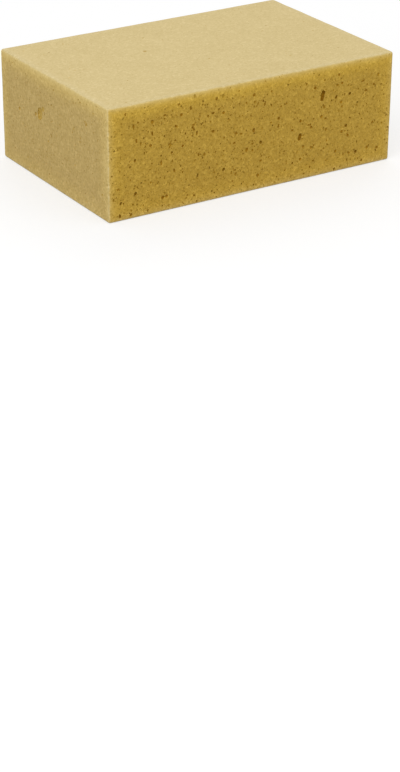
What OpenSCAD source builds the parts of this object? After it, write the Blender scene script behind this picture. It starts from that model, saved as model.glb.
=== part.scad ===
// Cleaning sponge: one block of open-cell foam, sawn square and then softened at
// its edges. Sawing cuts through the cells, so the larger ones stand open as pores:
// close together on the long sides, fewer on the ends, and few and small on the
// top and the underside. Here and there cells have run together into a void.
// The block stands on the XY plane, centred on the origin, with its length along X.

/* [Block] */
// Length of the block, along X
length = 170; // [140:5:200]
// Width of the block, along Y
width = 110; // [85:5:130]
// Height of the block, along Z
height = 59; // [45:1:70]
// Radius of the softened edges
edge_r = 1.5; // [1:0.1:4]

/* [Pores of the long sides] */
// Spacing of the pores on the two long sides
side_pitch = 9; // [8:0.5:14]
// Width of the widest pore on the long sides
side_pore_d = 2; // [1.4:0.1:3.2]

/* [Pores of the ends] */
// Spacing of the pores on the two ends
end_pitch = 11.5; // [10:0.5:18]
// Width of the widest pore on the ends
end_pore_d = 1.6; // [1:0.1:2.8]

/* [Pores of the top and underside] */
// Spacing of the pores on the top and the underside
skin_pitch = 17; // [14:0.5:24]
// Width of the widest pore on the top and the underside
skin_pore_d = 1.3; // [0.9:0.1:2.4]

/* [Foam] */
// Narrowest pore, as a share of the widest one on its face
least_pore_share = 0.5; // [0.3:0.05:0.9]
// How far a pore strays from its place in the pattern, as a share of the spacing
stray_share = 0.4; // [0:0.05:0.45]
// How deep a pore's middle may lie under the face, as a share of its radius
sunk_share = 0.5; // [0:0.05:0.7]
// Seed that scatters the pores
seed = 41; // [1:1:99]

/* [Hidden] */
foam_colour = [0.80, 0.69, 0.38];
$fn = 32;

// Voids: how far along and how far up the face each lies, as shares of the face
// seen from outside, then its width and its height in millimetres.
front_voids = [
    [0.74, 0.73, 2.8, 4.8],
    [0.66, 0.40, 1.9, 3.2],
    [0.79, 0.69, 2.0, 2.4],
    [0.84, 0.70, 2.0, 2.0],
    [0.52, 0.43, 2.1, 2.1],
    [0.39, 0.26, 2.1, 2.5],
    [0.30, 0.26, 1.5, 2.3],
    [0.09, 0.22, 2.0, 2.2],
    [0.04, 0.16, 1.7, 2.1],
    [0.87, 0.15, 2.2, 2.2],
    [0.83, 0.41, 2.0, 2.0]
];
back_voids = [
    [0.22, 0.61, 2.2, 3.8],
    [0.57, 0.24, 2.4, 3.0],
    [0.71, 0.78, 1.8, 2.2],
    [0.91, 0.45, 2.0, 2.6]
];
// A patch of cells run together, on the end that looks along -X.
left_voids = [
    [0.37, 0.63, 3.6, 4.4],
    [0.41, 0.67, 2.2, 2.6],
    [0.34, 0.59, 2.0, 2.4],
    [0.18, 0.55, 1.8, 2.2],
    [0.81, 0.76, 1.6, 2.0]
];
right_voids = [
    [0.28, 0.36, 2.2, 2.8],
    [0.66, 0.70, 1.8, 2.6]
];
top_voids = [
    [0.36, 0.61, 1.8, 2.2]
];
under_voids = [
    [0.62, 0.35, 1.6, 2.0]
];

// A rectangle of a by b, centred, with round corners of radius r.
module rounded_rectangle(a, b, r) {
    square([a - 2 * r, b], center = true);
    square([a, b - 2 * r], center = true);
    for (x = [-1, 1], y = [-1, 1])
        translate([x * (a / 2 - r), y * (b / 2 - r)]) circle(r);
}

// The sawn block, each of its twelve edges rounded by edge_r.
module block() {
    intersection() {
        linear_extrude(height) rounded_rectangle(length, width, edge_r);
        translate([0, width / 2, height / 2]) rotate([90, 0, 0])
            linear_extrude(width) rounded_rectangle(length, height, edge_r);
        translate([-length / 2, 0, height / 2]) rotate([90, 0, 90])
            linear_extrude(length) rounded_rectangle(width, height, edge_r);
    }
}

// Single cells cut open at a face of a by b, which is centred on the origin, lies
// at z = 0 and looks along +Z.
module pores(a, b, pitch, widest, face_seed) {
    columns = floor(a / pitch);
    rows = floor(b / pitch);
    count = columns * rows;
    along = rands(-stray_share, stray_share, count, face_seed);
    across = rands(-stray_share, stray_share, count, face_seed + 100);
    size = rands(0, 1, count, face_seed + 200);
    depth = rands(-sunk_share / 2, sunk_share, count, face_seed + 300);
    for (i = [0 : columns - 1], j = [0 : rows - 1]) {
        k = i * rows + j;
        // squared, so that narrow pores outnumber wide ones
        d = widest * (least_pore_share + (1 - least_pore_share) * pow(size[k], 2));
        translate([
            (i + 0.5 + along[k] - columns / 2) * a / columns,
            (j + 0.5 + across[k] - rows / 2) * b / rows,
            -depth[k] * d / 2
        ]) sphere(d = d);
    }
}

// Two cells run together, one above the other, cut open at a face like that of pores().
module voids(a, b, places) {
    for (p = places)
        translate([(p[0] - 0.5) * a, (p[1] - 0.5) * b, -sunk_share * p[2] / 2])
            for (half = [-1, 1])
                translate([half * p[2] / 12, half * (p[3] - p[2]) / 2, 0]) sphere(d = p[2]);
}

// All the open cells of one face.
module open_cells(a, b, pitch, widest, face_seed, places) {
    pores(a, b, pitch, widest, face_seed);
    voids(a, b, places);
}

// Puts a face's open cells on the side of the block that looks along -Y, turned about Z.
module on_side(turn, reach) {
    rotate([0, 0, turn]) translate([0, -reach, height / 2]) rotate([90, 0, 0]) children();
}

module sponge() {
    color(foam_colour) difference() {
        block();
        on_side(0, width / 2) open_cells(length, height, side_pitch, side_pore_d, seed, front_voids);
        on_side(180, width / 2) open_cells(length, height, side_pitch, side_pore_d, seed + 1, back_voids);
        on_side(-90, length / 2) open_cells(width, height, end_pitch, end_pore_d, seed + 2, left_voids);
        on_side(90, length / 2) open_cells(width, height, end_pitch, end_pore_d, seed + 3, right_voids);
        translate([0, 0, height])
            open_cells(length, width, skin_pitch, skin_pore_d, seed + 4, top_voids);
        rotate([180, 0, 0])
            open_cells(length, width, skin_pitch, skin_pore_d, seed + 5, under_voids);
    }
}

sponge();
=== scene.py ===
import math
from collections import namedtuple

import bmesh
import bpy
import numpy as np
from mathutils import Matrix, Vector, noise

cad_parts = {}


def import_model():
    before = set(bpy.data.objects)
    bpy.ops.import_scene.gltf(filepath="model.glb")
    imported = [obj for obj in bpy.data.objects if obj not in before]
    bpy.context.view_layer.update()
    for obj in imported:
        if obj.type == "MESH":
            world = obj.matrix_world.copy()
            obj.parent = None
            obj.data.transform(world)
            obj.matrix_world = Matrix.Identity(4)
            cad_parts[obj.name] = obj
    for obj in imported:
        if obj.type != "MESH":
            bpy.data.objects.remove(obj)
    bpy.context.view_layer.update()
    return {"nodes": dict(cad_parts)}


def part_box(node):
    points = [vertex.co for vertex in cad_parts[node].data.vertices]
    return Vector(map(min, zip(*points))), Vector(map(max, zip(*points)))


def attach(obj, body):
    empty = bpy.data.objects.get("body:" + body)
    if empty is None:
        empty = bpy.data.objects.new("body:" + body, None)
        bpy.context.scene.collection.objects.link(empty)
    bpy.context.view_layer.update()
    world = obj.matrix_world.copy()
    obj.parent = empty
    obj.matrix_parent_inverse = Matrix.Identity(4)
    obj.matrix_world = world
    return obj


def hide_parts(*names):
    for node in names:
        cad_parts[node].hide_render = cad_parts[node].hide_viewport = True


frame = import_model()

# A block of open-cell foam. Its outer skin is a lattice block with soft edges and a
# slight unevenness. Cells cut open by the saw are booleaned out of it, and one
# procedural foam material covers skin, sawn faces and cell walls.
# Lengths are in metres, unless a comment gives them in millimetres. Each of the six
# faces is of one kind: "side" for front and back, "end" for left and right, and
# "skin" for top and underside.

MM = 0.001
RNG = np.random.RandomState(17)


def add_object(name, data):
    made = bpy.data.objects.new(name, data)
    bpy.context.scene.collection.objects.link(made)
    return made


# The block

LOW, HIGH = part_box("sponge")
CENTRE = (LOW + HIGH) / 2
HALF = (HIGH - LOW) / 2
EDGE_R = 1.5 * MM
LATTICE_PITCH = 5 * MM
ARC_STEPS = 3

RELIEF = 0.24 * MM          # deepest hollow of the uneven skin
RELIEF_SCALE = 12 * MM
RELIEF_FLOOR_SHARE = 0.3    # the underside is pressed flat by its own weight
RELIEF_BROAD = 0.7          # shares of a broad and a fine layer of noise
RELIEF_FINE = 0.3
RELIEF_TIMES = 2.1          # how many times finer the fine layer is
RELIEF_SHIFT = Vector((7, 3, 5))


def ticks(half):
    """Lattice lines along one axis: even over the flat, closer together over the rounded edges."""
    inner = half - EDGE_R
    count = round(2 * inner / LATTICE_PITCH)
    flat = [-inner + 2 * inner * i / count for i in range(count + 1)]
    arc = [EDGE_R * math.tan(math.pi / 4 * (i + 1) / ARC_STEPS) for i in range(ARC_STEPS)]
    return [-inner - a for a in reversed(arc)] + flat + [inner + a for a in arc]


def relief(point):
    """How far the skin lies inside the block at a point."""
    q = point / RELIEF_SCALE
    broad, fine = noise.noise(q), noise.noise(q * RELIEF_TIMES + RELIEF_SHIFT)
    n = 0.5 + 0.5 * (RELIEF_BROAD * broad + RELIEF_FINE * fine)
    share = RELIEF_FLOOR_SHARE if point.z < LOW.z + EDGE_R / 2 else 1.0
    return RELIEF * share * min(1.0, max(0.0, n))


def skin_point(place):
    """A place on a sharp-edged block, from its middle, brought onto the rounded and uneven one."""
    core = Vector(max(EDGE_R - h, min(h - EDGE_R, c)) for c, h in zip(place, HALF))
    out = (place - core).normalized()
    skin = CENTRE + core + out * EDGE_R
    return skin - out * relief(skin)


def block_mesh():
    """The uncut block: a closed lattice of quads, its edges rounded by EDGE_R."""
    lines = [ticks(h) for h in HALF]
    last = [len(line) - 1 for line in lines]
    bm = bmesh.new()
    made = {}

    def corner(index):
        if index not in made:
            made[index] = bm.verts.new(skin_point(Vector(line[i] for line, i in zip(lines, index))))
        return made[index]

    for axis in range(3):
        a, b = (axis + 1) % 3, (axis + 2) % 3
        for end in (0, last[axis]):
            for i in range(last[a]):
                for j in range(last[b]):
                    quad = []
                    for di, dj in ((0, 0), (1, 0), (1, 1), (0, 1)):
                        index = [0, 0, 0]
                        index[axis], index[a], index[b] = end, i + di, j + dj
                        quad.append(corner(tuple(index)))
                    if end == 0:
                        quad.reverse()
                    bm.faces.new(quad)
    mesh = bpy.data.meshes.new("foam_block")
    bm.to_mesh(mesh)
    bm.free()
    return mesh


# The six faces

UNIT = np.eye(3)


def axes_of(out, up):
    """Columns that point along, up and out of a face. Along is to the right, seen from outside."""
    return np.array((np.cross(up, out), up, out)).T


class Face:
    """One of the block's faces: its kind, its directions and half its size along each."""

    def __init__(self, kind, axis, way):
        self.kind = kind
        self.out = way * UNIT[axis]
        self.axes = axes_of(self.out, UNIT[1] if axis == 2 else UNIT[2])
        self.half = np.abs(np.array(HALF) @ self.axes)

    def point(self, along, up, sunk):
        """A point that lies sunk below the face. along and up are measured from its middle."""
        skin = np.array(CENTRE) + self.axes @ (along, up, self.half[2])
        return skin - self.out * (sunk + relief(Vector(skin)))

    def gap(self, point):
        """How far inside the face a point lies."""
        return self.half[2] - (point - np.array(CENTRE)) @ self.out


FRONT = Face("side", 1, -1)
FACES = (FRONT, Face("side", 1, 1), Face("end", 0, -1), Face("end", 0, 1),
         Face("skin", 2, 1), Face("skin", 2, -1))


# Open cells, each an uneven ellipsoid

# Forms that cells are cut with: icospheres of three levels, and for the tiniest a spindle
COARSE, MEDIUM, FINE, SPINDLE = 1, 2, 3, 0

UNEVEN = 0.24               # how far a cell's wall strays from a ball, as a share of its radius
UNEVEN_LIMIT = 1.2          # the most that it strays, as a share of that
LEAST_DARKNESS = 0.04       # above 0, which stands for the skin

# Spans to draw from: a cell's width and depth as shares of its radius, and its lean in
# degrees, which is anticlockwise seen from outside
CELL_WIDTH = (0.82, 1.12)
CELL_DEPTH = (0.65, 0.95)
CELL_LEAN = (-40, 40)

BAY_STEP = 0.85             # how far out a bay lies, as a share of its reach
BAY_SIZE = (0.35, 0.5)      # radius of a bay, as a share of its reach


class Cell:
    """One open cell. radii run along, up and out of its face."""

    def __init__(self, axes, centre, radii, darkness, form, lean):
        c, s = math.cos(math.radians(lean)), math.sin(math.radians(lean))
        self.centre = np.array(centre, float)
        self.shape = axes @ np.array(((c, -s, 0), (s, c, 0), (0, 0, 1))) * np.array(radii, float)
        self.darkness = max(LEAST_DARKNESS, darkness)
        self.form = form
        self.reach = max(radii) * (1 + UNEVEN_LIMIT * UNEVEN)


def scattered_cell(axes, centre, radius, darkness, form, tall=1.0):
    """A cell of random width, depth and lean, and about tall times as high as it is wide."""
    wide, deep = RNG.uniform(*CELL_WIDTH), RNG.uniform(*CELL_DEPTH)
    radii = np.array((wide, tall / wide, deep)) * radius
    return Cell(axes, centre, radii, darkness, form, RNG.uniform(*CELL_LEAN))


def with_bays(face, cell, reach, count):
    """A wide cell and the smaller ones that have run into its rim."""
    cells = [cell]
    for _ in range(count):
        turn = RNG.uniform(0, 2 * math.pi)
        step = face.axes @ (math.cos(turn), math.sin(turn), 0) * reach * BAY_STEP
        small = reach * RNG.uniform(*BAY_SIZE)
        cells.append(scattered_cell(face.axes, cell.centre + step, small, cell.darkness, MEDIUM))
    return cells


# The cells of the CAD solid, found again in its mesh

LEAST_WALL = 6              # points that a ball's wall has at the least
LARGEST_BALL = 4 * MM
BALL_ERROR = 0.02 * MM      # how exactly a ball is found
BALL_DIGITS = 5             # of a metre, so that a ball found twice counts once
VOID_REACH = 3 * MM         # the two balls of a void lie closer together than this


def islands(count, triangles):
    """For each of count points, the lowest one that triangles join it to."""
    island = np.arange(count)
    while True:
        lowest = island[triangles].min(axis=1)
        merged = island.copy()
        for k in range(3):
            np.minimum.at(merged, triangles[:, k], lowest)
        merged = merged[merged]
        if (merged == island).all():
            return island
        island = merged


def ball_through(wall):
    """Centre and radius of the ball that fits points best, and how far the worst lies off it."""
    terms = np.c_[2 * wall, np.ones(len(wall))]
    solved = np.linalg.lstsq(terms, (wall ** 2).sum(axis=1), rcond=None)[0]
    centre = solved[:3]
    radius = math.sqrt(max(0.0, solved[3] + (centre ** 2).sum()))
    off = np.abs(np.linalg.norm(wall - centre, axis=1) - radius).max()
    return centre, radius, off


def ball_fits(mesh):
    """The balls that the CAD solid's cells were cut with, as rows of centre and radius.

    Each face of the solid is an island of the mesh, so a ball's wall is an island whose
    points all lie on one sphere."""
    points = np.zeros(len(mesh.vertices) * 3, np.float32)
    mesh.vertices.foreach_get("co", points)
    points = points.reshape(-1, 3).astype(float)
    corners = np.zeros(len(mesh.loops), np.int32)
    mesh.loops.foreach_get("vertex_index", corners)
    island = islands(len(points), corners.reshape(-1, 3))
    order = np.argsort(island, kind="stable")
    balls = set()
    for members in np.split(order, np.flatnonzero(np.diff(island[order])) + 1):
        if len(members) >= LEAST_WALL:
            centre, radius, off = ball_through(points[members])
            if radius < LARGEST_BALL and off < BALL_ERROR:
                balls.add((*np.round(centre, BALL_DIGITS), round(radius, BALL_DIGITS)))
    return sorted(balls)


def gap_to_twin(ball, balls):
    """How far off the other ball of a void lies, which is of the same size. A lone ball gives 0."""
    gaps = [math.dist(ball[:3], other[:3]) for other in balls if abs(ball[3] - other[3]) < BALL_ERROR]
    return max(gap for gap in gaps if gap < VOID_REACH)


# How a wide cell is cut. Its radii along, up and into the face, how far its middle is
# raised and how far its bays reach are shares of its ball's radius. more is what the radii
# have besides, and shift moves it along, up and out. A lean of None is drawn from WIDE_LEAN
Wide = namedtuple("Wide", "radii raised darkness form bays bay_reach more shift lean",
                  defaults=((0, 0, 0), (0, 0, 0), None))
WIDE_LEAN = (-25, 5)
SLIT = Wide((0.6, 1.6, 0.5), 0.0, 0.78, FINE, 2, 0.8, more=(0.7 * MM, 0, 0.3 * MM), lean=-18)
SIDE_VOID = Wide((0.82, 1.05, 0.62), 0.0, 0.68, MEDIUM, 2, 0.8)
FAINT_PORE = Wide((0.5, 0.6, 0.5), 0.0, 0.35, MEDIUM, 2, 0.5)
SHALLOW_VOID = Wide((1.2, 1.1, 0.36), 0.42, 0.22, MEDIUM, 3, 0.6)
GOLDEN_PATCH = Wide((1.3, 1.7, 0.42), 0.42, 0.24, FINE, 3, 1.3, shift=(0.9 * MM, -0.9 * MM, 0))

# How a single pore is cut. Its radius and how far it is raised are shares of its ball's
# radius. A ball larger than medium_from has the MEDIUM form
Pore = namedtuple("Pore", "radius raised darkness tall medium_from")
FRONT_PORE = Pore(0.64, 0.0, 0.62, 1.15, math.inf)
BAND_PORE = FRONT_PORE._replace(darkness=0.3)
BACK_PORE = Pore(0.82, 0.0, 0.72, 1.15, 0.8 * MM)
SHALLOW_PORE = Pore(0.95, 0.35, 0.2, 1.0, 0.5 * MM)

TOP_BAND = 6 * MM           # under a side's top edge, where few cells stand open
SLIT_GAP = 1.2 * MM         # balls further apart than this make one of the front's two tall voids
FRONT_WIDE_R = 0.74 * MM    # wide cells have balls larger than this on the front
WIDE_R = 1.0 * MM           # and than this elsewhere
PATCH_R = 1.5 * MM          # only the patch of the left end has balls larger than this


def wide_cut(face, r, apart):
    """The Wide that a ball is cut as, or None for a single pore.

    The voids of ends and skins are shallow, and show as golden patches."""
    if face is FRONT and apart > SLIT_GAP:
        return SLIT
    if face is FRONT and r > FRONT_WIDE_R:
        return SIDE_VOID if apart > 0 else FAINT_PORE
    if r <= WIDE_R:
        return None
    if face.kind == "side":
        return SIDE_VOID
    return GOLDEN_PATCH if r > PATCH_R else SHALLOW_VOID


def wide_cell(face, centre, r, cut):
    """A wide cell, and its bays."""
    middle = centre + face.out * cut.raised * r + face.axes @ cut.shift
    radii = np.array(cut.radii) * r + cut.more
    lean = RNG.uniform(*WIDE_LEAN) if cut.lean is None else cut.lean
    cell = Cell(face.axes, middle, radii, cut.darkness, cut.form, lean)
    return with_bays(face, cell, r * cut.bay_reach, cut.bays)


def single_pore(face, centre, r):
    """A small lone ball, cut as the Pore of its face."""
    if face is FRONT:
        cut = BAND_PORE if centre[2] > HIGH.z - TOP_BAND else FRONT_PORE
    else:
        cut = BACK_PORE if face.kind == "side" else SHALLOW_PORE
    middle = centre + face.out * cut.raised * r
    form = MEDIUM if r > cut.medium_from else COARSE
    return scattered_cell(face.axes, middle, r * cut.radius, cut.darkness, form, cut.tall)


def cad_cells():
    """The cells of the CAD solid."""
    cells = []
    balls = ball_fits(frame["nodes"]["sponge"].data)
    for ball in balls:
        centre, r = np.array(ball[:3]), ball[3]
        face = min(FACES, key=lambda f: f.gap(centre))
        cut = wide_cut(face, r, gap_to_twin(ball, balls))
        if cut:
            cells += wide_cell(face, centre, r, cut)
        else:
            cells.append(single_pore(face, centre, r))
    return cells


# The cells that only the scene has

# Cells that stand out on the front of the real sponge, as read to about half a
# millimetre: how far along and how far up each lies, its width and its height
FRONT_CELLS = (
    (5.5, 17, 1.5, 1), (10, 54.5, 1, 1.5), (14.5, 47.5, 1, 2), (16, 40, 1, 2), (17, 49, 1, 1),
    (24, 17, 1, 1), (24, 36, 1.5, 1.5), (25, 42, 1, 2), (25, 48, 1.5, 2), (30, 26, 1, 2.5),
    (32, 50, 1.5, 1), (33, 8, 1.5, 1.5), (35, 34.5, 2, 1), (37.5, 20.5, 1, 2), (38, 36, 1, 1),
    (39, 43, 1, 1), (40, 54, 1.5, 1), (41.5, 48.5, 1.5, 1.5), (47, 51, 1, 2), (48.5, 42, 1.5, 1),
    (49, 5, 1.5, 1), (50.5, 37.5, 1, 2), (51.5, 26, 1, 1.5), (55, 25.5, 1, 1.5), (57, 45, 1, 1.5),
    (60, 36.5, 1.5, 1.5), (60, 46, 1.5, 1), (62, 53, 1, 1.5), (66, 45, 1.5, 1.5), (66.5, 32, 1, 1),
    (72.5, 28, 1.5, 1), (73.5, 11.5, 1, 1.5), (73.5, 33, 1, 1.5), (75, 54.5, 1, 1),
    (76.5, 32, 1.5, 1), (80, 23, 1.5, 2), (83.5, 22, 1, 1.5), (84, 32.5, 1.5, 2),
    (84, 51, 1.5, 1.5), (87, 8, 1.5, 1.5), (88.5, 15.5, 1.5, 1), (90.5, 45, 1, 1.5),
    (94.5, 51, 1, 1), (99, 32, 1, 2), (99, 36, 1.5, 1.5), (103.5, 43, 1, 1), (107.5, 28, 1.5, 1),
    (112.5, 32, 1.5, 1.5), (113, 11.5, 1.5, 1.5), (114.5, 18, 1, 1.5), (117.5, 29, 1, 1),
    (119.5, 16.5, 1, 1.5), (121, 9, 1.5, 1), (121, 48, 1.5, 1.5), (125.5, 32, 1.5, 1.5),
    (128, 30.5, 1.5, 1), (128.5, 24.5, 1, 1.5), (135, 47, 1.5, 1), (137.5, 37.5, 1.5, 1.5),
    (138.5, 21.5, 1.5, 1.5), (151, 46.5, 2, 1), (153, 41, 1.5, 1), (158, 23, 1, 1.5),
    (158, 43.5, 1.5, 1), (161.5, 8.5, 1.5, 1.5),
)
CUT_WIDER = 1.22            # a cell looks narrower than it is cut, since its rim stays pale
FRONT_DEPTH = 0.4           # of a listed cell, as a share of its width and height together
FRONT_SUNK = (0.0, 0.3)     # as a share of its radius into the face
FRONT_LEAN = (-30, 20)
FRONT_DARKNESS = 0.66

# Scattered cells of each kind of face: how many square millimetres there are to each,
# smallest and largest radius in millimetres, darkness, and form
SCATTERED = {
    "side": (
        (22.5, 0.38, 0.64, 0.55, COARSE),
        (9.8, 0.25, 0.38, 0.7, SPINDLE),
    ),
    "end": (
        (240, 0.40, 0.62, 0.22, MEDIUM),
        (50, 0.30, 0.46, 0.22, COARSE),
        (24, 0.22, 0.32, 0.3, SPINDLE),
    ),
    "skin": (
        (700, 0.34, 0.48, 0.2, MEDIUM),
        (260, 0.26, 0.36, 0.2, COARSE),
        (100, 0.20, 0.28, 0.25, SPINDLE),
    ),
}
# One row more for the front, and one for the back, whose wide cells aren't listed
FRONT_MORE = (170, 0.5, 0.82, 0.75, MEDIUM)
BACK_MORE = (95, 0.44, 0.74, 0.8, MEDIUM)
SMALL_BIAS = 1.5            # above 1, so that small cells outnumber large ones
SCATTERED_SUNK = (-0.1, 0.4)    # as a share of the radius. Less than 0 is raised
SCATTERED_DARKNESS = (0.6, 1.15)    # times that of the row
SIDE_TALL = 1.2
EDGE_MARGIN = 1.0 * MM
BAND_LOSS = 0.7             # share of the scattered cells that are missing in the top band
BAND_DARKNESS = 0.55        # share of its darkness that a cell keeps there

# Nicks along the twelve edges
NICK_PITCH = 2.3 * MM
NICK_STRAY = (-0.45, 0.45)  # as a share of the pitch
NICK_FROM_CORNER = 2 * MM
NICK_TURN = (15, 75)        # degrees from one face towards the other
NICK_R = (0.22, 0.48)       # millimetres
NICK_SUNK = (-0.35, 0.15)   # as a share of the radius
NICK_DARKNESS = 0.05


def front_cells():
    cells = []
    for along, up, width, height in FRONT_CELLS:
        size = (CUT_WIDER * width, CUT_WIDER * height, FRONT_DEPTH * (width + height))
        radii = np.array(size) / 2 * MM
        centre = FRONT.point(along * MM - HALF.x, up * MM - HALF.z, radii[2] * RNG.uniform(*FRONT_SUNK))
        cells.append(Cell(FRONT.axes, centre, radii, FRONT_DARKNESS, MEDIUM, RNG.uniform(*FRONT_LEAN)))
    return cells


def face_cells(face):
    """The scattered cells of one face."""
    cells = []
    is_side = face.kind == "side"
    rows = SCATTERED[face.kind]
    if is_side:
        rows += (FRONT_MORE if face is FRONT else BACK_MORE,)
    area = 4 * face.half[0] * face.half[1] / MM ** 2
    for share, small, large, darkness, form in rows:
        for _ in range(int(area / share)):
            r = (small + (large - small) * RNG.rand() ** SMALL_BIAS) * MM
            along, up = RNG.uniform(-1, 1, 2) * (face.half[:2] - r - EDGE_MARGIN)
            in_band = is_side and up > face.half[1] - TOP_BAND
            if in_band and RNG.rand() < BAND_LOSS:
                continue
            centre = face.point(along, up, r * RNG.uniform(*SCATTERED_SUNK))
            dark = darkness * RNG.uniform(*SCATTERED_DARKNESS) * (BAND_DARKNESS if in_band else 1.0)
            tall = SIDE_TALL if is_side else 1.0
            cells.append(scattered_cell(face.axes, centre, r, dark, form, tall))
    return cells


def nick(along, a, b, way_a, way_b, place):
    """A shallow cell on the edge that runs along one axis and joins the faces of axes a and b."""
    turn = math.radians(RNG.uniform(*NICK_TURN))
    out = way_a * math.cos(turn) * UNIT[a] + way_b * math.sin(turn) * UNIT[b]
    r = RNG.uniform(*NICK_R) * MM
    centre = np.array(CENTRE) + UNIT[along] * (place + RNG.uniform(*NICK_STRAY) * NICK_PITCH)
    centre += UNIT[a] * way_a * (HALF[a] - EDGE_R) + UNIT[b] * way_b * (HALF[b] - EDGE_R)
    centre += out * (EDGE_R - r * RNG.uniform(*NICK_SUNK))
    axes = axes_of(out, np.cross(out, UNIT[along]))
    return scattered_cell(axes, centre, r, NICK_DARKNESS, COARSE)


def edge_cells():
    """Nicks where the saw met open cells along the twelve edges."""
    cells = []
    for along in range(3):
        a, b = (along + 1) % 3, (along + 2) % 3
        reach = HALF[along] - NICK_FROM_CORNER
        for way_a, way_b in ((-1, -1), (-1, 1), (1, -1), (1, 1)):
            for place in np.arange(-reach, reach, NICK_PITCH):
                cells.append(nick(along, a, b, way_a, way_b, place))
    return cells


# Cutting the cells out of the block

PORE = "pore"               # face attribute: 0 on the skin, and a cell's darkness on its wall
BOX = 4.5 * MM              # cells whose boxes of this size aren't neighbours are taken not to touch
CREASE = math.radians(50)

NOISE_STEPS = 3000          # to the metre, so that each cell has noise of its own
UNEVEN_STEPS = 2.0          # noise steps to a cell's radius
UNEVEN_TIMES = 2.3          # how many times finer the second layer of noise is
UNEVEN_SHARE = 0.5          # and how strong, as a share of the first


def batches_of(cells):
    """The cells in lists within which no two touch, so that each list is one clean cutter."""
    batches = []
    for cell in sorted(cells, key=lambda c: -c.reach):
        home = tuple((cell.centre // BOX).astype(int))
        near = [(home[0] + i, home[1] + j, home[2] + k)
                for i in (-1, 0, 1) for j in (-1, 0, 1) for k in (-1, 0, 1)]
        for batch in batches:
            if all(math.dist(other.centre, cell.centre) > other.reach + cell.reach
                   for key in near for other in batch.get(key, ())):
                break
        else:
            batch = {}
            batches.append(batch)
        batch.setdefault(home, []).append(cell)
    return [[cell for row in batch.values() for cell in row] for batch in batches]


def icosphere(level):
    bm = bmesh.new()
    bmesh.ops.create_icosphere(bm, subdivisions=level, radius=1)
    points = np.array([v.co[:] for v in bm.verts])
    faces = [[v.index for v in f.verts] for f in bm.faces]
    bm.free()
    return points, faces


def spindle():
    """Two six-sided cones, base to base, that point into and out of the face."""
    ring = [(math.cos(k * math.pi / 3), math.sin(k * math.pi / 3), 0) for k in range(6)]
    faces = []
    for k in range(6):
        faces += [(k, (k + 1) % 6, 6), ((k + 1) % 6, k, 7)]
    return np.array(ring + [(0, 0, 1), (0, 0, -1)]), faces


FORMS = {SPINDLE: spindle()} | {level: icosphere(level) for level in (COARSE, MEDIUM, FINE)}


def swell(ball, centre):
    """Factors by which the points of a unit ball move out or in, from two layers of noise."""
    shift = Vector(centre) * NOISE_STEPS
    bumps = []
    for point in ball:
        place = Vector(point) * UNEVEN_STEPS
        fine = UNEVEN_SHARE * noise.noise(place * UNEVEN_TIMES - shift)
        bumps.append(noise.noise(place + shift) + fine)
    return 1 + UNEVEN * np.clip(bumps, -UNEVEN_LIMIT, UNEVEN_LIMIT)


def cutter(cells):
    """One object of the cells' forms, with each cell's darkness on its faces."""
    points, faces, darkness = [], [], []
    start = 0
    for cell in cells:
        ball, shape = FORMS[cell.form]
        points.append(ball * swell(ball, cell.centre)[:, None] @ cell.shape.T + cell.centre)
        faces += [[i + start for i in f] for f in shape]
        darkness += [cell.darkness] * len(shape)
        start += len(ball)
    mesh = bpy.data.meshes.new("cells")
    mesh.from_pydata(np.concatenate(points).tolist(), [], faces)
    mesh.attributes.new(PORE, "FLOAT", "FACE").data.foreach_set("value", darkness)
    return add_object("cells", mesh)


def cut_open(piece, cells):
    """Takes the cells out of the piece, one batch after the other."""
    for batch in batches_of(cells):
        tool = cutter(batch)
        cut = piece.modifiers.new("cut", "BOOLEAN")
        cut.operation = "DIFFERENCE"
        cut.solver = "MANIFOLD"
        cut.object = tool
        done = piece.evaluated_get(bpy.context.evaluated_depsgraph_get())
        mesh = bpy.data.meshes.new_from_object(done)
        piece.modifiers.clear()
        piece.data = mesh
        bpy.data.objects.remove(tool)


def loose_chips(bm):
    """The vertices of all that cells have cut free of the block."""
    left, chips = set(bm.verts), []
    while left:
        chip = [left.pop()]
        for vert in chip:
            near = {edge.other_vert(vert) for edge in vert.link_edges} & left
            left -= near
            chip.extend(near)
        chips.append(chip)
    return [vert for chip in sorted(chips, key=len)[:-1] for vert in chip]


def fins(bm):
    """Pairs of triangles that lie back to back, where two cells only just meet."""
    met = {}
    for face in bm.faces:
        met.setdefault(frozenset(face.verts), []).append(face)
    return [face for faces in met.values() if len(faces) > 1 for face in faces]


def finish_mesh(mesh):
    """Triangles, smooth inside a cell and over the skin, with a crisp rim between the two."""
    bm = bmesh.new()
    bm.from_mesh(mesh)
    bmesh.ops.triangulate(bm, faces=bm.faces)
    bmesh.ops.delete(bm, geom=fins(bm), context="FACES")
    bmesh.ops.delete(bm, geom=loose_chips(bm), context="VERTS")
    pore = bm.faces.layers.float[PORE]
    for face in bm.faces:
        face.smooth = True
    for edge in bm.edges:
        kinds = {face[pore] > 0 for face in edge.link_faces}
        edge.smooth = len(kinds) < 2 and edge.calc_face_angle(0) < CREASE
    bm.to_mesh(mesh)
    bm.free()


# Colours

def tone(red, green, blue):
    """A colour as a screen shows it, from 0 to 255, as Blender's linear colour."""
    def linear(c):
        c /= 255
        return c / 12.92 if c <= 0.04045 else ((c + 0.055) / 1.055) ** 2.4
    return (linear(red), linear(green), linear(blue), 1.0)


SKIN = tone(213, 192, 137)
SKIN_PALE = tone(219, 203, 160)
END = tone(192, 165, 101)
# painted light: the deeper gold of light that soaks through an end near its edges
END_SOAK_GLOW = tone(213, 184, 108)
SIDE = tone(189, 153, 61)
# painted light: the deeper gold of light that soaks through a side near its edges
SIDE_SOAK_GLOW = tone(212, 172, 56)
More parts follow.
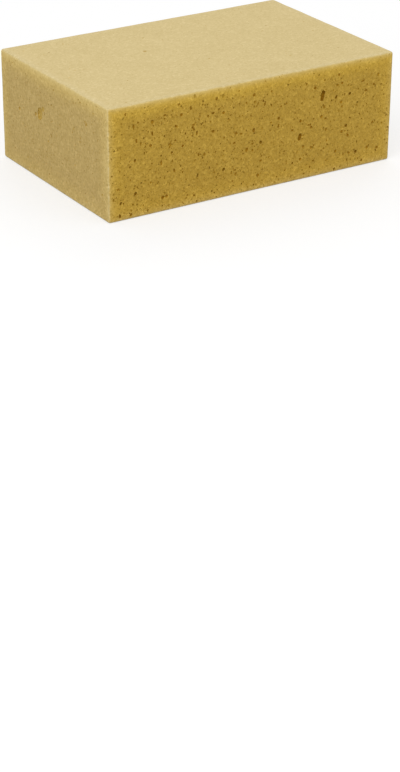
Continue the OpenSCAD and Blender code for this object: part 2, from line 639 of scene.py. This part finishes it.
# painted light: the paler colour where light soaks out along the edges
EDGE_GLOW = tone(215, 195, 138)
CELL_WALL = tone(186, 152, 54)
# painted shade: the brown deep inside cells, where little light gets in
CELL_DEEP = tone(160, 111, 2)
SHEEN = tone(250, 240, 215)
WHITE = (1.0, 1.0, 1.0, 1.0)


# Materials

class Shader:
    """Short names for adding nodes to the tree of one material or world."""

    def __init__(self, owner):
        owner.use_nodes = True
        self.owner = owner
        self.tree = owner.node_tree
        self.tree.nodes.clear()

    def set(self, socket, value):
        if isinstance(value, bpy.types.NodeSocket):
            self.tree.links.new(value, socket)
        else:
            socket.default_value = value

    def fill(self, node, values):
        """Sets a node's inputs to values, from the first one on."""
        for socket, value in zip(node.inputs, values):
            self.set(socket, value)

    def node(self, kind, **settings):
        made = self.tree.nodes.new(kind)
        for name, value in settings.items():
            setattr(made, name, value)
        return made

    def build(self, kind, *values, **named):
        """First output of a new node. values go to its inputs in their order, and named to
        the inputs of those names, where an underscore stands for a space."""
        made = self.node(kind)
        self.fill(made, values)
        for name, value in named.items():
            self.set(made.inputs[name.replace("_", " ")], value)
        return made.outputs[0]

    def finish(self, surface):
        kind = "World" if isinstance(self.owner, bpy.types.World) else "Material"
        out = self.node("ShaderNodeOutput" + kind)
        self.set(out.inputs["Surface"], surface)

    def math(self, operation, a, b=0.0, clamp=False):
        made = self.node("ShaderNodeMath", operation=operation, use_clamp=clamp)
        self.fill(made, (a, b))
        return made.outputs[0]

    def chain(self, operation, first, *others):
        """first, worked on with each of the others in turn."""
        for other in others:
            first = self.math(operation, first, other)
        return first

    def plus(self, *values):
        return self.chain("ADD", *values)

    def minus(self, *values):
        return self.chain("SUBTRACT", *values)

    def times(self, *values):
        return self.chain("MULTIPLY", *values)

    def least(self, *values):
        return self.chain("MINIMUM", *values)

    def most(self, *values):
        return self.chain("MAXIMUM", *values)

    def vector(self, operation, *values):
        made = self.node("ShaderNodeVectorMath", operation=operation)
        self.fill(made, values)
        return made.outputs["Value" if operation == "LENGTH" else "Vector"]

    def split(self, vector):
        made = self.node("ShaderNodeSeparateXYZ")
        self.fill(made, (vector,))
        return made.outputs

    def span(self, value, low, high, to_low=0.0, to_high=1.0):
        """value eased from low..high to to_low..to_high, and held there beyond."""
        made = self.node("ShaderNodeMapRange", interpolation_type="SMOOTHSTEP")
        self.fill(made, (value, low, high, to_low, to_high))
        return made.outputs["Result"]

    def fade(self, value, share, reach):
        """share where value is 0, dying away as value grows past reach."""
        return self.times(self.math("EXPONENT", self.math("DIVIDE", value, -reach)), share)

    def mix(self, share, a, b, blend="MIX"):
        """Colour a where share is 0, and b where it is 1."""
        made = self.node("ShaderNodeMix", data_type="RGBA", blend_type=blend, clamp_factor=True)
        # of the node's many inputs, 6 and 7 are the ones for colours
        for place, value in ((0, share), (6, a), (7, b)):
            self.set(made.inputs[place], value)
        return made.outputs[2]

    def noise(self, where, size, detail):
        """Noise round 0, from about -0.5 to 0.5."""
        fac = self.build("ShaderNodeTexNoise", Vector=where, Scale=1 / size, Detail=detail)
        return self.minus(fac, 0.5)

    def cells(self, where, size):
        """Foam cells about size wide: distance from each one's middle, and a number of its own."""
        made = self.node("ShaderNodeTexVoronoi")
        self.set(made.inputs["Vector"], where)
        self.set(made.inputs["Scale"], 1 / size)
        chance = self.build("ShaderNodeSeparateColor", made.outputs["Color"])
        return made.outputs["Distance"], self.minus(chance, 0.5)


# The foam's material

# One kind of face passes into the next over BORDER, which isn't ruled but strays in waves
BORDER = (-0.5 * MM, 0.9 * MM)
BORDER_STRAY = 1.6 * MM
BORDER_WAVE = 3 * MM

# Painted light along the edges, where light soaks through the foam, makes it paler and more golden there,
# and skins are paler towards their edges: how strong each is and how far it reaches
EDGE_GLOW_SHARE = 0.52
EDGE_GLOW_REACH = 2.0 * MM
TOP_GLOW_SHARE = 0.95
TOP_GLOW_REACH = 1.6 * MM
SKIN_PALE_SHARE = 0.3
SKIN_PALE_REACH = 5 * MM
SOAK_GLOW_REACH = 11.5 * MM
LOW_SOAK_GLOW = 0.55             # share of the painted golden light that is left lower down, from the depth given next
LOW_SOAK_GLOW_FROM = 14 * MM

# Cell walls: depths over which they take their colours, and how a cell's darkness paints shade into them
# as brown
WALL_DEPTHS = (0.02 * MM, 0.25 * MM)
DEEP_DEPTHS = (0.04 * MM, 0.45 * MM)
WALL_GAIN = 2.5
BROWN_FROM = 0.2
BROWN_GAIN = 1.3
BROWN_LOST_TO_SOAK_GLOW = 0.45

# The closed cells of the foam: how wide they are, the distances from their middles over
# which they end, as shares of that, which of them are meant, by a number from -0.5 to 0.5
# that each has, and how much paler they make the foam
SQUEEZE = (1.0, 1.0, 0.85)  # makes the cells taller than they are wide
DIMPLE_SIZE = 1.0 * MM
DIMPLE_RIM = (0.1, 0.75)
DIMPLE_SHADE = -0.10
CELL_SHADE = 0.22           # times the number of the dimple's cell
PALE_CELLS = (0.34, 0.46)
PALE_SHADE = 0.13
COARSE_SIZE = 2.1 * MM
COARSE_RIM = (0.0, 0.7)
COARSE_SHADE = 0.05         # times the number of the coarse cell
SPECK_SIZE = 2.0 * MM
SPECK_RIM = (0.15, 0.25)
SPECK_CELLS = (0.1, 0.2)
SPECK_SHADE = -0.28

# Unevenness without cells: fibres, and wide blotches that are stronger on sawn faces
FIBRE_SIZE = 0.5 * MM
FIBRE_SHADE = 0.36
BLOTCH_SIZE = 14 * MM
SKIN_BLOTCH = 0.085
SAWN_BLOTCH = 0.035         # what sides and ends have more than skins

SKIN_GRAIN = 0.42           # strength of the grain on skins, where 1 is that on sides
END_GRAIN = 0.56            # of what sides have more than skins, the share that ends have
TOP_GRAIN = 0.1             # of the same, the share that is left at the top edge

# How high they stand, as shares of the bump's depth
BUMP_DEPTH = 0.25 * MM
BUMP_STRENGTH = 0.6
DIMPLE_HEIGHT = -1.0
COARSE_HEIGHT = 0.5
FIBRE_HEIGHT = 0.8

# The shade's effect on red, green and blue: darker foam is a deeper gold, not a greyer one
TINT_MIDDLE = 1.04
TINT_SHARES = (0.85, 1.0, 1.6)


class Place:
    """Sockets that say where on the block a shaded point lies."""

    def __init__(self, s):
        self.point = s.node("ShaderNodeTexCoord").outputs["Object"]
        from_centre = s.vector("ABSOLUTE", s.vector("SUBTRACT", self.point, CENTRE))
        gaps = s.vector("SUBTRACT", HALF, from_centre)
        gx, gy, gz = s.split(gaps)

        # depth below the rounded block
        over = s.vector("SUBTRACT", (EDGE_R,) * 3, gaps)
        outer = s.vector("LENGTH", s.vector("MAXIMUM", over, (0, 0, 0)))
        inner = s.least(s.minus(EDGE_R, s.least(gx, gy, gz)), 0.0)
        self.depth = s.minus(EDGE_R, s.plus(outer, inner))

        # distances from the nearest edge, which is the middle one of the three gaps, and from the top
        self.edge = s.most(s.least(gx, gy), s.least(s.most(gx, gy), gz))
        self.top = s.minus(HIGH.z, s.split(self.point)[2])

        # which kind of face it belongs to
        self.stray = s.times(s.noise(self.point, BORDER_WAVE, 3), BORDER_STRAY)
        self.side = s.span(s.plus(s.minus(s.least(gx, gz), gy), self.stray), *BORDER)
        self.end = s.span(s.plus(s.minus(s.least(gy, gz), gx), self.stray), *BORDER)


def soak_glow_share(s, at):
    """Painted light that soaks through sawn foam and turns it more golden: most along its edges, and
    there most near the top.
    """
    near_edge = s.span(s.plus(at.edge, at.stray), 0.0, SOAK_GLOW_REACH, 1.0, 0.0)
    return s.times(near_edge, s.span(at.top, 0.0, LOW_SOAK_GLOW_FROM, 1.0, LOW_SOAK_GLOW))


def outer_colour(s, at, gold):
    """Skins, sides and ends. Sides and ends have painted light along their edges: paler, and most so at
    the top, where light soaks through. Skins are paler towards their edges.
    """
    edge_glow = s.most(s.fade(at.edge, EDGE_GLOW_SHARE, EDGE_GLOW_REACH),
                    s.fade(at.top, TOP_GLOW_SHARE, TOP_GLOW_REACH))
    side = s.mix(edge_glow, s.mix(gold, SIDE, SIDE_SOAK_GLOW), EDGE_GLOW)
    end = s.mix(edge_glow, s.mix(gold, END, END_SOAK_GLOW), EDGE_GLOW)
    skin = s.mix(s.span(at.edge, 0.0, SKIN_PALE_REACH, SKIN_PALE_SHARE, 0.0), SKIN, SKIN_PALE)
    return s.mix(at.end, s.mix(at.side, skin, side), end)


def with_walls(s, at, gold, colour):
    """Cell walls show the foam's own deeper gold, and turn brown where little light gets in."""
    wall = s.node("ShaderNodeAttribute", attribute_name=PORE).outputs["Fac"]
    is_wall = s.times(s.math("MULTIPLY", wall, WALL_GAIN, clamp=True), s.span(at.depth, *WALL_DEPTHS))
    brown = s.times(s.math("SUBTRACT", wall, BROWN_FROM, clamp=True), BROWN_GAIN)
    # less brown where the painted golden light soaks through
    brown = s.times(brown, s.minus(1.0, s.times(gold, BROWN_LOST_TO_SOAK_GLOW)))
    is_deep = s.times(brown, s.span(at.depth, *DEEP_DEPTHS))
    return s.mix(is_deep, s.mix(is_wall, colour, CELL_WALL), CELL_DEEP)


def grain(s, at):
    """Closed cells, specks and fibres: how much paler a point is for them, and how high it stands."""
    squeezed = s.vector("MULTIPLY", at.point, SQUEEZE)
    distance, chance = s.cells(squeezed, DIMPLE_SIZE)
    coarse_distance, coarse_chance = s.cells(squeezed, COARSE_SIZE)
    speck_distance, speck_chance = s.cells(at.point, SPECK_SIZE)
    dimple = s.span(distance, *DIMPLE_RIM, 1.0, 0.0)
    speck = s.times(s.span(speck_distance, *SPECK_RIM, 1.0, 0.0), s.span(speck_chance, *SPECK_CELLS))

    sawn = s.most(at.side, s.times(at.end, END_GRAIN))
    sawn = s.times(sawn, s.span(at.top, 0.0, TOP_BAND, TOP_GRAIN, 1.0))
    strength = s.plus(SKIN_GRAIN, s.times(sawn, 1 - SKIN_GRAIN))

    shade = s.plus(s.times(chance, CELL_SHADE), s.span(chance, *PALE_CELLS, 0.0, PALE_SHADE))
    shade = s.plus(shade, s.times(speck, SPECK_SHADE), s.times(coarse_chance, COARSE_SHADE),
                   s.times(s.noise(at.point, FIBRE_SIZE, 1), FIBRE_SHADE), s.times(dimple, DIMPLE_SHADE))
    blotchy = s.plus(SKIN_BLOTCH, s.times(s.most(at.side, at.end), SAWN_BLOTCH))
    blotch = s.times(s.noise(at.point, BLOTCH_SIZE, 1), blotchy)

    height = s.plus(s.times(dimple, DIMPLE_HEIGHT),
                    s.times(s.noise(at.point, FIBRE_SIZE, 3), FIBRE_HEIGHT),
                    s.times(s.span(coarse_distance, *COARSE_RIM), COARSE_HEIGHT))
    return s.plus(s.times(shade, strength), blotch), s.times(height, strength)


def foam_material():
    s = Shader(bpy.data.materials.new("foam"))
    at = Place(s)
    gold = soak_glow_share(s, at)
    colour = with_walls(s, at, gold, outer_colour(s, at, gold))
    shade, height = grain(s, at)
    tints = [s.plus(TINT_MIDDLE, s.times(shade, share)) for share in TINT_SHARES]
    tint = s.build("ShaderNodeCombineColor", *tints)
    bump = s.build("ShaderNodeBump", Height=height, Strength=BUMP_STRENGTH, Distance=BUMP_DEPTH)
    s.finish(s.build(
        "ShaderNodeBsdfPrincipled",
        Base_Color=s.mix(1.0, colour, tint, "MULTIPLY"),
        Roughness=0.95,
        Specular_IOR_Level=0.12,
        Sheen_Weight=0.10,
        Sheen_Roughness=0.5,
        Sheen_Tint=SHEEN,
        Normal=bump,
    ))
    return s.owner


# The piece

piece = add_object("foam_block", block_mesh())
piece.data.attributes.new(PORE, "FLOAT", "FACE")
all_cells = cad_cells() + front_cells() + edge_cells()
for face in FACES:
    all_cells += face_cells(face)
cut_open(piece, all_cells)
finish_mesh(piece.data)
piece.data.name = "foam_block"
piece.data.materials.clear()
piece.data.materials.append(foam_material())
print("triangles", len(piece.data.polygons), "cells", len(all_cells))

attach(piece, "root")
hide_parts("sponge")


# The floor and the world

FLOOR_HALF = 4.0
FLOOR_ALBEDO = (0.62, 0.62, 0.62, 1.0)
FLOOR_LIT = 0.44            # share of the floor's shown white that comes from light, and so takes shadow
FLOOR_GLOW = 0.59
FAR_GLOW = 0.74             # further off, where the lamps don't reach
GLOW_DISTANCES = (0.35, 2.2)    # over which the glow grows
SKY = 0.62


def seen(s):
    """1 for what the camera sees, by itself or in gloss and glass."""
    path = s.node("ShaderNodeLightPath").outputs
    return s.most(path["Is Camera Ray"], path["Is Glossy Ray"], path["Is Transmission Ray"])


def floor():
    """A white floor with soft shadows, which lights the sponge as a plain grey one would."""
    s = Shader(bpy.data.materials.new("floor"))
    plain = s.build("ShaderNodeBsdfDiffuse", Color=FLOOR_ALBEDO)
    lit = s.build("ShaderNodeBsdfDiffuse", Color=(FLOOR_LIT,) * 3 + (1.0,))
    away = s.vector("LENGTH", s.node("ShaderNodeTexCoord").outputs["Object"])
    strength = s.span(away, *GLOW_DISTANCES, FLOOR_GLOW, FAR_GLOW)
    glow = s.build("ShaderNodeEmission", Color=WHITE, Strength=strength)
    shown = s.build("ShaderNodeAddShader", lit, glow)
    s.finish(s.build("ShaderNodeMixShader", seen(s), plain, shown))
    mesh = bpy.data.meshes.new("floor")
    corners = [(x * FLOOR_HALF, y * FLOOR_HALF, LOW.z) for x, y in ((-1, -1), (1, -1), (1, 1), (-1, 1))]
    mesh.from_pydata(corners, [], [(0, 1, 2, 3)])
    mesh.materials.append(s.owner)
    made = add_object("floor", mesh)


def world():
    """Soft light from all round, in place of which the camera sees plain white."""
    sky = bpy.data.worlds.new("studio")
    s = Shader(sky)
    light = s.build("ShaderNodeBackground", Color=WHITE, Strength=SKY)
    shown = s.build("ShaderNodeBackground", Color=WHITE, Strength=1.0)
    s.finish(s.build("ShaderNodeMixShader", seen(s), light, shown))
    bpy.context.scene.world = sky


# The lamps and the camera

# The camera, as solved from the seven corners of the sponge in the photograph. Angles
# are in degrees, and the lens in millimetres
CAMERA_AZIMUTH = -32.52
CAMERA_ELEVATION = 26.95
CAMERA_ROLL = 0.33
CENTRE_FROM_CAMERA = Vector((-1.8, 146.3, -1081.4)) * MM
LENS = 97.04
CLIP = (0.05, 50)           # the nearest and the furthest that the camera sees


def direction(azimuth, elevation):
    """Away from the sponge. Azimuth 0 is out of its front, and 90 out of its right end."""
    a, e = math.radians(azimuth), math.radians(elevation)
    return Vector((math.sin(a) * math.cos(e), -math.cos(a) * math.cos(e), math.sin(e)))


def lamp(name, azimuth, elevation, distance, size, power):
    """A soft square lamp aimed at the sponge."""
    back = direction(azimuth, elevation)
    data = bpy.data.lights.new(name, "AREA")
    data.energy = power
    data.size = size
    made = add_object(name, data)
    made.location = CENTRE + back * distance
    made.rotation_mode = "QUATERNION"
    made.rotation_quaternion = back.to_track_quat("Z", "Y")


def camera():
    back = direction(CAMERA_AZIMUTH, CAMERA_ELEVATION)
    right = Vector((0, 0, 1)).cross(back).normalized()
    up = back.cross(right)
    roll = Matrix.Rotation(math.radians(CAMERA_ROLL), 3, "Z")
    turn = Matrix((right, up, back)).transposed() @ roll
    data = bpy.data.cameras.new("camera")
    data.lens = LENS
    data.clip_start, data.clip_end = CLIP
    made = add_object("camera", data)
    made.rotation_mode = "QUATERNION"
    made.rotation_quaternion = turn.to_quaternion()
    made.location = CENTRE - turn @ CENTRE_FROM_CAMERA
    bpy.context.scene.camera = made


floor()
world()
lamp("key", azimuth=-60, elevation=40, distance=1.4, size=1.1, power=7.7)
lamp("fill", azimuth=20, elevation=30, distance=1.5, size=1.2, power=2.5)
lamp("back", azimuth=-218, elevation=35, distance=1.4, size=1.1, power=3.5)
camera()

view_settings = bpy.context.scene.view_settings
view_settings.view_transform = "Standard"
